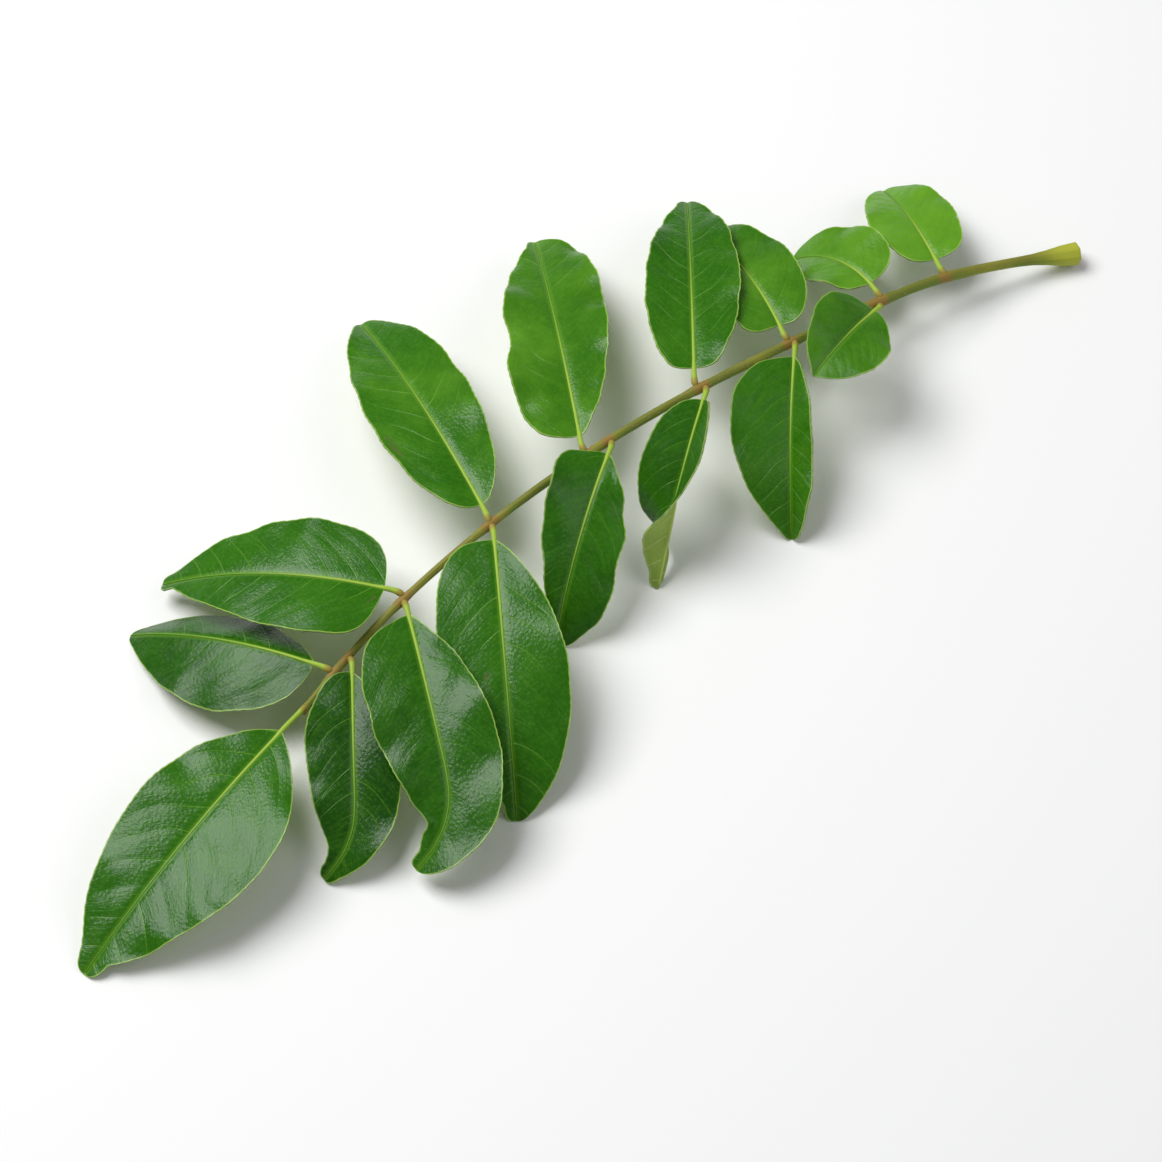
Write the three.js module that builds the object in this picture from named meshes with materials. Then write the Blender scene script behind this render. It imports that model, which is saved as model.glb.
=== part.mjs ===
// Curry leaf sprig: one pinnate leaf picked whole, lying on a flat surface.
// Millimetres and degrees, +Z up. The stalk runs along X, with the cut base at +X
// and the terminal leaflet at -X. Left leaflets are on the +Y side, right ones on -Y.
import * as THREE from 'three';

// Driving dimensions of the stalk
const stalkRadiusTip = 0.6; // where the terminal leaflet joins
const stalkRadiusBase = 0.95; // just before the swollen foot
const footRadius = 2.1; // swollen foot that came away from the twig
const footLength = 13;
const stalkRings = 60;
const stalkSides = 10;
const nodeSwelling = 0.2; // how far the stalk thickens at each leaflet
const nodeLength = 2.2;
const scarStation = 151; // where one leaflet has dropped off
const scarHeight = 1.3;
const scarLength = 1.5;

// Driving dimensions shared by all leaflets
const jointGap = 0.3; // clearance between the stalk and a leaflet's own stem
const jointRise = 30; // how far above the stalk's side a leaflet joins it
const stemRadius = 0.6;
const bladeThickness = 0.44;
const keelDepth = 0.75; // how far the midrib stands out below the blade, at its stem
const keelFade = 0.7; // share of that depth which is gone at the tip
const bladeRings = 14;
const ribPoints = 3; // points on each half of a rib, counted from the midrib
const marginEdge = 0.06; // half thickness of the blade next to its margin
const waves = 3; // waves along each margin
const waveOffset = 0.35; // share of a wave between the two margins
const pathSteps = 240; // steps used to integrate a leaflet's midrib
const droopRange = [-20, 90];
const droopTurns = 24; // halvings of that range

// The stalk's centre line, from the leaf end to the cut base
const stalkPath = new THREE.CatmullRomCurve3([
  new THREE.Vector3(-55, -1, 9),
  new THREE.Vector3(-42, 2.3, 11.5),
  new THREE.Vector3(-28.5, 5, 13.2),
  new THREE.Vector3(-8, 7.4, 15),
  new THREE.Vector3(15, 8.6, 15.5),
  new THREE.Vector3(36, 8.2, 15),
  new THREE.Vector3(56, 7, 13.5),
  new THREE.Vector3(76, 5.8, 11),
  new THREE.Vector3(90, 4.4, 8.5),
  new THREE.Vector3(104, 1.4, 5),
  new THREE.Vector3(117, -3, 2.3),
]);
const stalkLength = stalkPath.getLength();

// One leaflet each. Every angle is in degrees:
//   station  distance along the stalk from its leaf end
//   side     1 left, -1 right
//   splay    heading, away from the direction of the stalk's leaf end
//   sweep    sideways bend from stem to tip, hook a further bend near the tip;
//            both turn counter-clockwise from above
//   stem     length of the leaflet's own stem, blade its blade
//   fore     greatest width of the half towards the leaf end, aft of the other half
//   fullest  where along the blade it is widest, skew moves the aft half's place outwards
//   taper    1 is an ellipse, larger values give a longer point
//   lift     rise of the stem, rest the height of the lowest point above the surface
//   droop    bend down from stem to tip, worked out from rest where it isn't given
//   foreFold and aftFold  how far each half rises from the midrib
//   cup      how far the margins hang
//   roll     how far the blade rolls fore half up, twist the further roll at its tip
//   turnFrom where along the leaflet hook and twist begin
//   ripple   height of the waves in the margin
//   lobe     how far the base of the blade leans back
const common = {
  sweep: 0, hook: 0, stem: 2.4, fullest: 0.42, skew: 0, taper: 1.5, lift: 4, rest: 0,
  foreFold: 10, aftFold: 8, cup: 0.6, roll: 0, twist: 0, turnFrom: 0.6,
  ripple: 0.5, lobe: 26,
};
const leaflets = [
  { name: 'terminal_leaflet', station: 0, side: 1, splay: -1, stem: 3.6, blade: 53,
    fore: 15, aft: 11.6, fullest: 0.41, skew: 0.04, taper: 1.6, lobe: 6 },
  { name: 'left_leaflet_1', station: 9, side: 1, splay: 72, blade: 38, fore: 12.4, aft: 8.4,
    skew: 0.1, foreFold: -12, aftFold: -26, lobe: 15 },
  { name: 'left_leaflet_2', station: 27.3, side: 1, splay: 57, blade: 43, fore: 12.2, aft: 12,
    fullest: 0.27, skew: 0.09, lift: 9, foreFold: 9, aftFold: 0, rest: 3, lobe: 20 },
  { name: 'left_leaflet_3', station: 48, side: 1, splay: 106, blade: 54, fore: 10.4,
    aft: 9.4, skew: 0.1, taper: 1.25, rest: 4 },
  { name: 'left_leaflet_4', station: 69.3, side: 1, splay: 119, blade: 52, fore: 10.8,
    aft: 9.6, fullest: 0.32, skew: 0.3, taper: 1.2, ripple: 1, rest: 6, lobe: 36 },
  { name: 'left_leaflet_5', station: 93.8, side: 1, splay: 124, blade: 47, fore: 8.6, aft: 9,
    fullest: 0.36, skew: 0.08, taper: 1.2, aftFold: 12, rest: 5, lobe: 34 },
  { name: 'left_leaflet_6', station: 113.3, side: 1, splay: 104, sweep: 14, blade: 34,
    fore: 8.2, aft: 9, fullest: 0.2, skew: 0.22, taper: 1.3, foreFold: 12, rest: 4, lobe: 42 },
  { name: 'left_leaflet_7', station: 134, side: 1, splay: 94, sweep: 40, blade: 20.5,
    fore: 7.5, aft: 9, taper: 1.3, foreFold: 14, rest: 3 },
  { name: 'left_leaflet_8', station: 148, side: 1, splay: 97, blade: 24.5, fore: 8, aft: 8,
    fullest: 0.44, taper: 1.05, rest: 1.5, lobe: 34 },
  { name: 'right_leaflet_1', station: 12.6, side: -1, splay: 42, hook: -55, blade: 38,
    fore: 8.2, aft: 8.2, fullest: 0.4, skew: 0.05 },
  { name: 'right_leaflet_2', station: 26.3, side: -1, splay: 57, hook: -60, blade: 48,
    fore: 10.8, aft: 10, fullest: 0.33, skew: 0.22, lift: 6, foreFold: 7, aftFold: 12,
    rest: 3.2, lobe: 8 },
  { name: 'right_leaflet_3', station: 47, side: -1, splay: 53, blade: 50.5, fore: 11.4,
    aft: 11, fullest: 0.34, skew: 0.2, foreFold: 2 },
  { name: 'right_leaflet_4', station: 73.8, side: -1, splay: 35, blade: 37, fore: 8.4, aft: 8.4,
    fullest: 0.22, skew: 0.36, lift: 10, roll: 20, lobe: 10 },
  { name: 'right_leaflet_5', station: 94.4, side: -1, splay: 40, blade: 36, fore: 7.8, aft: 7,
    lift: 8, foreFold: 14, aftFold: 62, twist: -120, turnFrom: 0.4, lobe: 6 },
  { name: 'right_leaflet_6', station: 113.6, side: -1, splay: 50, sweep: 10, blade: 34,
    fore: 11, aft: 5.6, fullest: 0.38, skew: 0.16, foreFold: 12, aftFold: 48, lobe: 10 },
  { name: 'right_leaflet_7', station: 132.6, side: -1, splay: 22, blade: 20.5, fore: 8, aft: 8.4,
    fullest: 0.4, skew: 0.1, lift: 30, droop: 40, roll: 18, aftFold: 18, lobe: 0 },
].map((leaflet) => ({ ...common, ...leaflet }));

const radians = THREE.MathUtils.degToRad;
const smooth = THREE.MathUtils.smoothstep;

function stalkPoint(station) {
  return stalkPath.getPointAt(THREE.MathUtils.clamp(station / stalkLength, 0, 1));
}

// Horizontal direction of the stalk at a station, towards the leaf end
function leafwards(station) {
  const tangent = stalkPath.getTangentAt(THREE.MathUtils.clamp(station / stalkLength, 0, 1));
  return new THREE.Vector3(-tangent.x, -tangent.y, 0).normalize();
}

// How near a station is to a place on the stalk: 1 at it, 0 beyond its length
function nearness(station, place, length) {
  return 1 - smooth(Math.abs(station - place), 0, length);
}

function stalkRadius(station) {
  const share = station / stalkLength;
  const plain = THREE.MathUtils.lerp(stalkRadiusTip, stalkRadiusBase, share);
  const foot = smooth(station, stalkLength - footLength, stalkLength) ** 2;
  const node = Math.max(...leaflets.map((leaflet) => nearness(station, leaflet.station, nodeLength)));
  return THREE.MathUtils.lerp(plain + nodeSwelling * node, footRadius, foot);
}

// A closed solid from rings of points, each ring with as many points as the next,
// capped by one point at each end
function closedLoft(startPoint, rings, endPoint) {
  const sides = rings[0].length;
  const positions = [startPoint, ...rings.flat(), endPoint].flatMap((point) => point.toArray());
  const last = rings.length * sides + 1;
  const triangles = [];
  for (let side = 0; side < sides; side += 1) {
    const next = (side + 1) % sides;
    triangles.push(0, 1 + next, 1 + side);
    for (let ring = 0; ring < rings.length - 1; ring += 1) {
      const here = 1 + ring * sides;
      const there = here + sides;
      triangles.push(here + side, here + next, there + next);
      triangles.push(here + side, there + next, there + side);
    }
    const rim = last - sides;
    triangles.push(rim + side, rim + next, last);
  }
  const geometry = new THREE.BufferGeometry();
  geometry.setAttribute('position', new THREE.Float32BufferAttribute(positions, 3));
  geometry.setIndex(triangles);
  geometry.computeVertexNormals();
  return geometry;
}

// The stalk: a slim tapering rod, thicker at each leaflet and swollen at its foot
function stalkGeometry() {
  const rings = [];
  for (let ring = 0; ring <= stalkRings; ring += 1) {
    const station = (stalkLength * ring) / stalkRings;
    const centre = stalkPoint(station);
    const along = stalkPath.getTangentAt(ring / stalkRings);
    const across = new THREE.Vector3(-along.y, along.x, 0).normalize();
    const upward = new THREE.Vector3().crossVectors(along, across);
    const scar = scarHeight * nearness(station, scarStation, scarLength);
    rings.push(Array.from({ length: stalkSides }, (_, side) => {
      const angle = (2 * Math.PI * side) / stalkSides;
      const towardsScar = Math.max(0, -Math.cos(angle)) ** 3;
      const radius = stalkRadius(station) + scar * towardsScar;
      return centre.clone()
        .addScaledVector(across, radius * Math.cos(angle))
        .addScaledVector(upward, radius * Math.sin(angle));
    }));
  }
  return closedLoft(stalkPoint(0), rings, stalkPoint(stalkLength));
}

// Half width of the blade, as a share of its greatest, at a share of its length
function outline(share, fullest, taper) {
  const rise = taper * fullest;
  const fall = taper * (1 - fullest);
  const curve = (x) => x ** rise * (1 - x) ** fall;
  return curve(share) / curve(fullest);
}

// Where a leaflet's stem starts: clear of the stalk, on its own side and a little above
function stemStart(leaflet, along) {
  const forward = leafwards(leaflet.station);
  const sideways = new THREE.Vector3(forward.y, -forward.x, 0).multiplyScalar(leaflet.side);
  const level = leaflet.station === 0 ? forward : sideways;
  const outward = level.setZ(Math.tan(radians(jointRise))).normalize();
  const slant = stemRadius * Math.sin(along.angleTo(outward));
  const reach = stalkRadius(leaflet.station) + jointGap + slant;
  return stalkPoint(leaflet.station).addScaledVector(outward, reach);
}

// Direction from a heading and a pitch, both in radians
function direction(heading, pitch) {
  return new THREE.Vector3(
    Math.cos(pitch) * Math.cos(heading),
    Math.cos(pitch) * Math.sin(heading),
    Math.sin(pitch),
  );
}

// Centre line of a leaflet with its frame at each step, bending down by droop degrees
function midrib(leaflet, droop) {
  const forward = leafwards(leaflet.station);
  const firstHeading = Math.atan2(forward.y, forward.x) - leaflet.side * radians(leaflet.splay);
  const point = stemStart(leaflet, direction(firstHeading, radians(leaflet.lift)));
  const length = leaflet.stem + leaflet.blade;
  const step = length / pathSteps;
  const frames = [];
  for (let index = 0; index <= pathSteps; index += 1) {
    const share = index / pathSteps;
    const late = smooth(share, leaflet.turnFrom, 1);
    const heading = firstHeading + radians(leaflet.sweep * share + leaflet.hook * late);
    const pitch = radians(leaflet.lift - droop * share);
    const along = direction(heading, pitch);
    const roll = leaflet.side * radians(leaflet.roll * smooth(share, 0, 0.3) + leaflet.twist * late);
    const across = new THREE.Vector3(-Math.sin(heading), Math.cos(heading), 0).applyAxisAngle(along, roll);
    const upward = new THREE.Vector3().crossVectors(along, across);
    frames.push({ point: point.clone(), along, across, upward });
    point.addScaledVector(along, step);
  }
  return frames;
}

// One rib of the blade: points from margin to margin over the top, then back below
function bladeRib(leaflet, frame, share) {
  const lean = radians(leaflet.lobe) * (1 - share) ** 3;
  const belly = Math.sin(Math.PI * share);
  const upperPoints = [];
  const lowerPoints = [];
  for (let index = ribPoints; index >= -ribPoints; index -= 1) {
    const reach = Math.abs(index) / ribPoints;
    const foreHalf = Math.sign(index) === leaflet.side;
    const widest = foreHalf ? leaflet.fore : leaflet.aft;
    const fullest = leaflet.fullest + (foreHalf ? 0 : leaflet.skew);
    const fold = radians(foreHalf ? leaflet.foreFold : leaflet.aftFold);
    const width = reach * widest * outline(share, fullest, leaflet.taper);
    const wave = Math.sin(2 * Math.PI * (waves * share + (foreHalf ? waveOffset : 0)));
    const margin = belly * reach ** 2 * (leaflet.ripple * wave - leaflet.cup);
    const middle = frame.point.clone()
      .addScaledVector(frame.across, Math.sign(index) * width * Math.cos(fold) * Math.cos(lean))
      .addScaledVector(frame.along, -width * Math.cos(fold) * Math.sin(lean))
      .addScaledVector(frame.upward, width * Math.sin(fold) + margin);
    const keel = index === 0 ? keelDepth * (1 - keelFade * share) : 0;
    const body = reach === 1 ? 0 : Math.max(marginEdge, (bladeThickness / 2) * (1 - reach ** 3));
    upperPoints.push(middle.clone().addScaledVector(frame.upward, body));
    lowerPoints.push(middle.clone().addScaledVector(frame.upward, -body - keel));
  }
  return [...upperPoints, ...lowerPoints.slice(1, -1).reverse()];
}

// A round ring of the leaflet's stem, with its points in the same order as a rib's
function stemRing(frame) {
  const sides = 4 * ribPoints;
  return Array.from({ length: sides }, (_, index) => {
    const angle = (2 * Math.PI * index) / sides;
    return frame.point.clone()
      .addScaledVector(frame.across, stemRadius * Math.cos(angle))
      .addScaledVector(frame.upward, stemRadius * Math.sin(angle));
  });
}

function leafletGeometry(leaflet, droop) {
  const frames = midrib(leaflet, droop);
  const length = leaflet.stem + leaflet.blade;
  const frameAt = (distance) => frames[Math.round((distance / length) * pathSteps)];
  const rings = [0, leaflet.stem / 2, leaflet.stem].map((distance) => stemRing(frameAt(distance)));
  for (let ring = 1; ring < bladeRings; ring += 1) {
    const share = (1 - Math.cos((Math.PI * ring) / bladeRings)) / 2;
    rings.push(bladeRib(leaflet, frameAt(leaflet.stem + share * leaflet.blade), share));
  }
  return closedLoft(frames[0].point, rings, frames[pathSteps].point);
}

function lowestPoint(geometry) {
  geometry.computeBoundingBox();
  return geometry.boundingBox.min.z;
}

// The droop that brings a leaflet's lowest point down to its resting height
function settledDroop(leaflet) {
  if (leaflet.droop !== undefined) {
    return leaflet.droop;
  }
  let [less, more] = droopRange;
  for (let turn = 0; turn < droopTurns; turn += 1) {
    const droop = (less + more) / 2;
    if (lowestPoint(leafletGeometry(leaflet, droop)) > leaflet.rest) {
      less = droop;
    } else {
      more = droop;
    }
  }
  return (less + more) / 2;
}

function greenMaterial(colour, roughness) {
  return new THREE.MeshStandardMaterial({ color: colour, roughness, metalness: 0 });
}

const sprig = new THREE.Group();
const stalk = new THREE.Mesh(stalkGeometry(), greenMaterial(0x8a9a3c, 0.6));
stalk.name = 'rachis';
sprig.add(stalk);
for (const leaflet of leaflets) {
  const geometry = leafletGeometry(leaflet, settledDroop(leaflet));
  const blade = new THREE.Mesh(geometry, greenMaterial(0x2f6b2a, 0.45));
  blade.name = leaflet.name;
  sprig.add(blade);
}

// The origin is the middle of the footprint, on the surface the sprig lies on
const box = new THREE.Box3().setFromObject(sprig);
const middle = box.getCenter(new THREE.Vector3());
sprig.position.set(-middle.x, -middle.y, -box.min.z);

export default sprig;
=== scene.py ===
import math

import bpy
import numpy as np
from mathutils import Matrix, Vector


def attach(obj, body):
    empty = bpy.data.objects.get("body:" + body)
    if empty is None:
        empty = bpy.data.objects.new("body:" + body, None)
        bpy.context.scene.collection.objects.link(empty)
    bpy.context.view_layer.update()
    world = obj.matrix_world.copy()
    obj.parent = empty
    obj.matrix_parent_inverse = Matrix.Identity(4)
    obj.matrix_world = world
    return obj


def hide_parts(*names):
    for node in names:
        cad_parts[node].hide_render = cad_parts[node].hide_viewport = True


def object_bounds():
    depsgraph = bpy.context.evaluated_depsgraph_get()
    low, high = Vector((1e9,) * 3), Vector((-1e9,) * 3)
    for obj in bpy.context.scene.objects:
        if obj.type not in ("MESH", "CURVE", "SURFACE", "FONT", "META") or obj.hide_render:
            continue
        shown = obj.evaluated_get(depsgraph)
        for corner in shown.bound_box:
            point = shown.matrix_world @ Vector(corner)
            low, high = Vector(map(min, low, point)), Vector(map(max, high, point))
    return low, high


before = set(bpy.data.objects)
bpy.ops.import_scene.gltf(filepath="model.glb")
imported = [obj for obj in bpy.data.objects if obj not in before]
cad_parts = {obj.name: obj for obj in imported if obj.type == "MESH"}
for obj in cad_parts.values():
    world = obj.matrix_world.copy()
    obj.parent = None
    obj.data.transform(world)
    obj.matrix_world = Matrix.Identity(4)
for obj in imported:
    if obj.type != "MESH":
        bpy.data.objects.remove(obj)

# A curry leaf sprig on a pale floor: one arched stalk and sixteen leaflets, each a veined blade
# with its own stem and midrib. Lengths in the dictionaries are in millimetres.

mm = 0.001
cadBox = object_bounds()
random = np.random.default_rng(16)


# Small helpers

def unit(vectors):
    return vectors / np.linalg.norm(vectors, axis=-1, keepdims=True)


def smooth(values, low, high):
    share = np.clip((values - low) / (high - low), 0, 1)
    return share * share * (3 - 2 * share)


def spline(rows, places):
    # a smooth curve through evenly numbered rows, read at the given row numbers
    before = 2 * rows[:1] - rows[1:2]
    after = 2 * rows[-1:] - rows[-2:-1]
    padded = np.concatenate([before, rows, after])
    index = np.clip(np.floor(places).astype(int), 0, len(rows) - 2)
    step = (places - index).reshape((-1,) + (1,) * (rows.ndim - 1))
    a, b, c, d = (padded[index + shift] for shift in range(4))
    curve = 2 * b + (c - a) * step + (2 * a - 5 * b + 4 * c - d) * step**2
    return 0.5 * (curve + (3 * b - a - 3 * c + d) * step**3)


def distances(points):
    # distance along a row of points
    steps = np.linalg.norm(np.diff(points, axis=0), axis=-1)
    return np.concatenate([[0], np.cumsum(steps)])


def evenly(points, values, count):
    # points and the values that go with them, spaced evenly along their curve
    along = distances(points)
    wanted = np.linspace(0, along[-1], count)
    spread = [np.interp(wanted, along, column) for column in np.column_stack([points, values]).T]
    spread = np.array(spread).T
    return spread[:, :3], spread[:, 3:]


def edit(operator, **settings):
    # one edit mode operator on the whole of the active mesh
    bpy.ops.object.mode_set(mode="EDIT")
    bpy.ops.mesh.select_all(action="SELECT")
    operator(**settings)
    bpy.ops.object.mode_set(mode="OBJECT")


def addSheet(name, points, paints):
    # a grid whose corners are laid on a table of points, with a number painted on each corner
    bpy.ops.object.select_all(action="DESELECT")
    lengthwise, crosswise = points.shape[0] - 1, points.shape[1] - 1
    bpy.ops.mesh.primitive_grid_add(x_subdivisions=lengthwise, y_subdivisions=crosswise, size=1)
    sheet = bpy.context.object
    sheet.name = name
    sheet.data.name = name
    flat = np.zeros(len(sheet.data.vertices) * 3)
    sheet.data.vertices.foreach_get("co", flat)
    flat = flat.reshape(-1, 3) + 0.5
    column = np.round(flat[:, 0] * lengthwise).astype(int)
    row = np.round(flat[:, 1] * crosswise).astype(int)
    sheet.data.vertices.foreach_set("co", points[column, row].ravel())
    for label, values in paints.items():
        layer = sheet.data.attributes.new(label, "FLOAT", "POINT")
        layer.data.foreach_set("value", np.broadcast_to(values, points.shape[:2])[column, row])
    sheet.data.update()
    return sheet


def addTube(name, rings, paints):
    # a closed tube through rings of points, whose first and last rings are single points
    wrapped = np.concatenate([rings, rings[:, :1]], axis=1)
    spread = {}
    for label, values in paints.items():
        table = np.broadcast_to(values, rings.shape[:2])
        spread[label] = np.concatenate([table, table[:, :1]], axis=1)
    tube = addSheet(name, wrapped, spread)
    edit(bpy.ops.mesh.remove_doubles, threshold=0.0005 * mm)
    edit(bpy.ops.mesh.normals_make_consistent, inside=False)
    bpy.ops.object.shade_smooth()
    return tube


def handOver(piece, slot, *nodes):
    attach(piece, "root")
    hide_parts(*nodes)


# Shader nodes written as Python expressions

class Wire:
    # a node's output that takes part in expressions
    def __init__(self, graph, socket):
        self.graph = graph
        self.socket = socket

    def maths(self, operation, *values):
        return self.graph.node("ShaderNodeMath", {"operation": operation}, dict(enumerate(values)))

    def __add__(self, other):
        return self.maths("ADD", self, other)

    def __radd__(self, other):
        return self.maths("ADD", other, self)

    def __sub__(self, other):
        return self.maths("SUBTRACT", self, other)

    def __rsub__(self, other):
        return self.maths("SUBTRACT", other, self)

    def __mul__(self, other):
        return self.maths("MULTIPLY", self, other)

    def __rmul__(self, other):
        return self.maths("MULTIPLY", other, self)

    def __abs__(self):
        return self.maths("ABSOLUTE", self)

    def fraction(self):
        return self.maths("FRACT", self)

    def rise(self, low, high):
        # 0 below low, 1 above high, smooth between; high may be the lower one
        settings = {"interpolation_type": "SMOOTHSTEP", "clamp": True}
        if low < high:
            return self.graph.node("ShaderNodeMapRange", settings, {0: self, 1: low, 2: high})
        return 1 - self.graph.node("ShaderNodeMapRange", settings, {0: self, 1: high, 2: low})


class Graph:
    # the nodes of one material
    def __init__(self, name):
        self.material = bpy.data.materials.new(name)
        self.material.use_nodes = True
        self.tree = self.material.node_tree
        self.tree.nodes.clear()

    def node(self, kind, settings=None, inputs=None, output=0):
        made = self.tree.nodes.new(kind)
        for label, value in (settings or {}).items():
            setattr(made, label, value)
        for label, value in (inputs or {}).items():
            if isinstance(value, Wire):
                self.tree.links.new(value.socket, made.inputs[label])
            else:
                made.inputs[label].default_value = value
        return Wire(self, made.outputs[output])

    def place(self):
        return self.node("ShaderNodeTexCoord", output="Object")

    def painted(self, *labels):
        kind = "ShaderNodeAttribute"
        return [self.node(kind, {"attribute_name": label}, output="Fac") for label in labels]

    def vector(self, x, y, z):
        return self.node("ShaderNodeCombineXYZ", None, {0: x, 1: y, 2: z})

    def noise(self, vector, scale, detail=3.0, roughness=0.55):
        inputs = {"Vector": vector, "Scale": scale, "Detail": detail, "Roughness": roughness}
        return self.node("ShaderNodeTexNoise", None, inputs)

    def cells(self, vector, scale, feature="F1"):
        settings = {"feature": feature}
        return self.node("ShaderNodeTexVoronoi", settings, {"Vector": vector, "Scale": scale})

    def blend(self, share, first, second):
        inputs = {0: share, 6: first, 7: second}
        return self.node("ShaderNodeMix", {"data_type": "RGBA"}, inputs, output=2)

    def bump(self, height, distance):
        return self.node("ShaderNodeBump", None, {"Height": height, "Distance": distance * mm})

    def skin(self, shade, roughness, specular=0.5, **others):
        inputs = {"Base Color": shade, "Roughness": roughness, "Specular IOR Level": specular}
        return self.node("ShaderNodeBsdfPrincipled", None, {**inputs, **others})

    def finish(self, shader):
        end = self.tree.nodes.new("ShaderNodeOutputMaterial")
        self.tree.links.new(shader.socket, end.inputs["Surface"])
        return self.material


def colour(red, green, blue):
    return (red, green, blue, 1.0)


# Finishes. Painted numbers: tone is how fresh a leaflet is, along and aside are millimetres from
# the blade's base and from its midrib, margin is millimetres in from its edge, vein counts the
# side veins from the base, mark is 1 on a bruise, joint is 1 where a leaflet meets the stalk,
# below is 1 under a midrib. Each "show" is how strongly a layer covers the one under it.

upperLook = {
    "deep": colour(0.006, 0.058, 0.001),
    "green": colour(0.025, 0.142, 0.002),
    "fresh": colour(0.150, 0.390, 0.020),
    "vein": colour(0.150, 0.360, 0.025),
    "margin": colour(0.400, 0.600, 0.110),
    "bruise": colour(0.100, 0.095, 0.022),
    "broadScale": 60,
    "patchScale": 260,
    "grainScale": 2300,
    "pebbleScale": 1500,
    "fibreShow": 0.16,
    "pebbleShow": 0.10,
    "veinShow": 0.55,
    "ribShow": 0.40,
    "bruiseShow": 0.80,
    "roughness": 0.17,
    "specular": 0.29,
    "relief": 0.068,
}
throughLook = {
    "colour": colour(0.080, 0.380, 0.006),
    "share": 0.14,
}


def finishBlade(graph, shader):
    # a share of the light comes through the blade
    light = graph.node("ShaderNodeBsdfTranslucent", None, {"Color": throughLook["colour"]})
    mixture = {0: throughLook["share"], 1: shader, 2: light}
    return graph.finish(graph.node("ShaderNodeMixShader", None, mixture))


def upperFinish():
    look = upperLook
    graph = Graph("leafletUpper")
    place = graph.place()
    tone, along, aside = graph.painted("tone", "along", "aside")
    margin, vein, mark = graph.painted("margin", "vein", "mark")
    broad = graph.noise(place, look["broadScale"], 2)
    patchy = graph.noise(place, look["patchScale"], 4, 0.6)
    grain = graph.noise(place, look["grainScale"], 2, 0.6)
    fibres = graph.noise(graph.vector(vein * 9, aside * 0.2, along * 0.02), 1.5, 3, 0.65)
    pebbles = graph.cells(place, look["pebbleScale"]).rise(0.75, 0.05)
    sideVein = abs((vein + 0.5).fraction() - 0.5).rise(0.034, 0.008)
    sideVein = sideVein * graph.noise(place, 70, 1).rise(0.42, 0.60) * aside.rise(12, 2)
    shade = tone + broad * 0.5 + patchy * 0.3 - 0.4
    green = graph.blend(shade.rise(0, 0.5), look["deep"], look["green"])
    green = graph.blend(shade.rise(0.4, 1.05), green, look["fresh"])
    green = graph.blend(fibres.rise(0.45, 0.75) * look["fibreShow"], green, look["fresh"])
    green = graph.blend(pebbles * look["pebbleShow"], green, look["fresh"])
    green = graph.blend(sideVein * look["veinShow"], green, look["vein"])
    green = graph.blend(aside.rise(0.9, 0.25) * look["ribShow"], green, look["vein"])
    green = graph.blend(margin.rise(0.30, 0.10) * (patchy * 0.9 + 0.25), green, look["margin"])
    bruise = mark * graph.noise(place, 900, 3, 0.7).rise(0.44, 0.58)
    green = graph.blend(bruise * look["bruiseShow"], green, look["bruise"])
    roughness = look["roughness"] + patchy * 0.12 + bruise * 0.3
    height = fibres * 0.7 + pebbles * 0.35 + grain * 0.35 + patchy * 0.5 - sideVein * 0.6
    normal = graph.bump(height, look["relief"])
    shader = graph.skin(green, roughness, look["specular"], Normal=normal)
    return finishBlade(graph, shader)


lowerLook = {
    "pale": colour(0.390, 0.540, 0.100),
    "dull": colour(0.260, 0.410, 0.060),
    "vein": colour(0.500, 0.600, 0.170),
    "broadScale": 80,
    "fineScale": 900,
    "netScale": 850,
    "netShow": 0.40,
    "veinShow": 0.75,
    "marginShow": 0.60,
    "roughness": 0.62,
    "specular": 0.35,
    "relief": 0.07,
}


def lowerFinish():
    look = lowerLook
    graph = Graph("leafletUnderside")
    place = graph.place()
    aside, vein, margin = graph.painted("aside", "vein", "margin")
    broad = graph.noise(place, look["broadScale"], 3)
    fine = graph.noise(place, look["fineScale"], 4, 0.6)
    net = graph.cells(place, look["netScale"], "DISTANCE_TO_EDGE").rise(0.12, 0.02)
    sideVein = abs((vein + 0.5).fraction() - 0.5).rise(0.07, 0.02) * aside.rise(14, 4)
    green = graph.blend(broad.rise(0.3, 0.7), look["dull"], look["pale"])
    green = graph.blend(net * look["netShow"], green, look["dull"])
    green = graph.blend(sideVein * look["veinShow"], green, look["vein"])
    green = graph.blend(margin.rise(0.5, 0.15) * look["marginShow"], green, look["vein"])
    roughness = look["roughness"] + fine * 0.15
    height = sideVein - net * 0.3 + fine * 0.4
    normal = graph.bump(height, look["relief"])
    shader = graph.skin(green, roughness, look["specular"], Normal=normal)
    return finishBlade(graph, shader)


rimLook = {
    "pale": colour(0.330, 0.430, 0.130),
    "green": colour(0.110, 0.230, 0.040),
    "spotScale": 700,
    "roughness": 0.5,
}


def rimFinish():
    look = rimLook
    graph = Graph("leafletMargin")
    spots = graph.noise(graph.place(), look["spotScale"], 3)
    shade = graph.blend(spots.rise(0.35, 0.7), look["green"], look["pale"])
    return graph.finish(graph.skin(shade, look["roughness"] + spots * 0.1))


ribLook = {
    "base": colour(0.310, 0.460, 0.040),
    "tip": colour(0.120, 0.290, 0.016),
    "joint": colour(0.300, 0.190, 0.035),
    "streak": colour(0.190, 0.330, 0.025),
    "below": colour(0.450, 0.560, 0.120),
    "mottleScale": 500,
    "streakShow": 0.45,
    "jointShow": 0.80,
    "roughness": 0.46,
    "specular": 0.35,
    "relief": 0.04,
}


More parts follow.
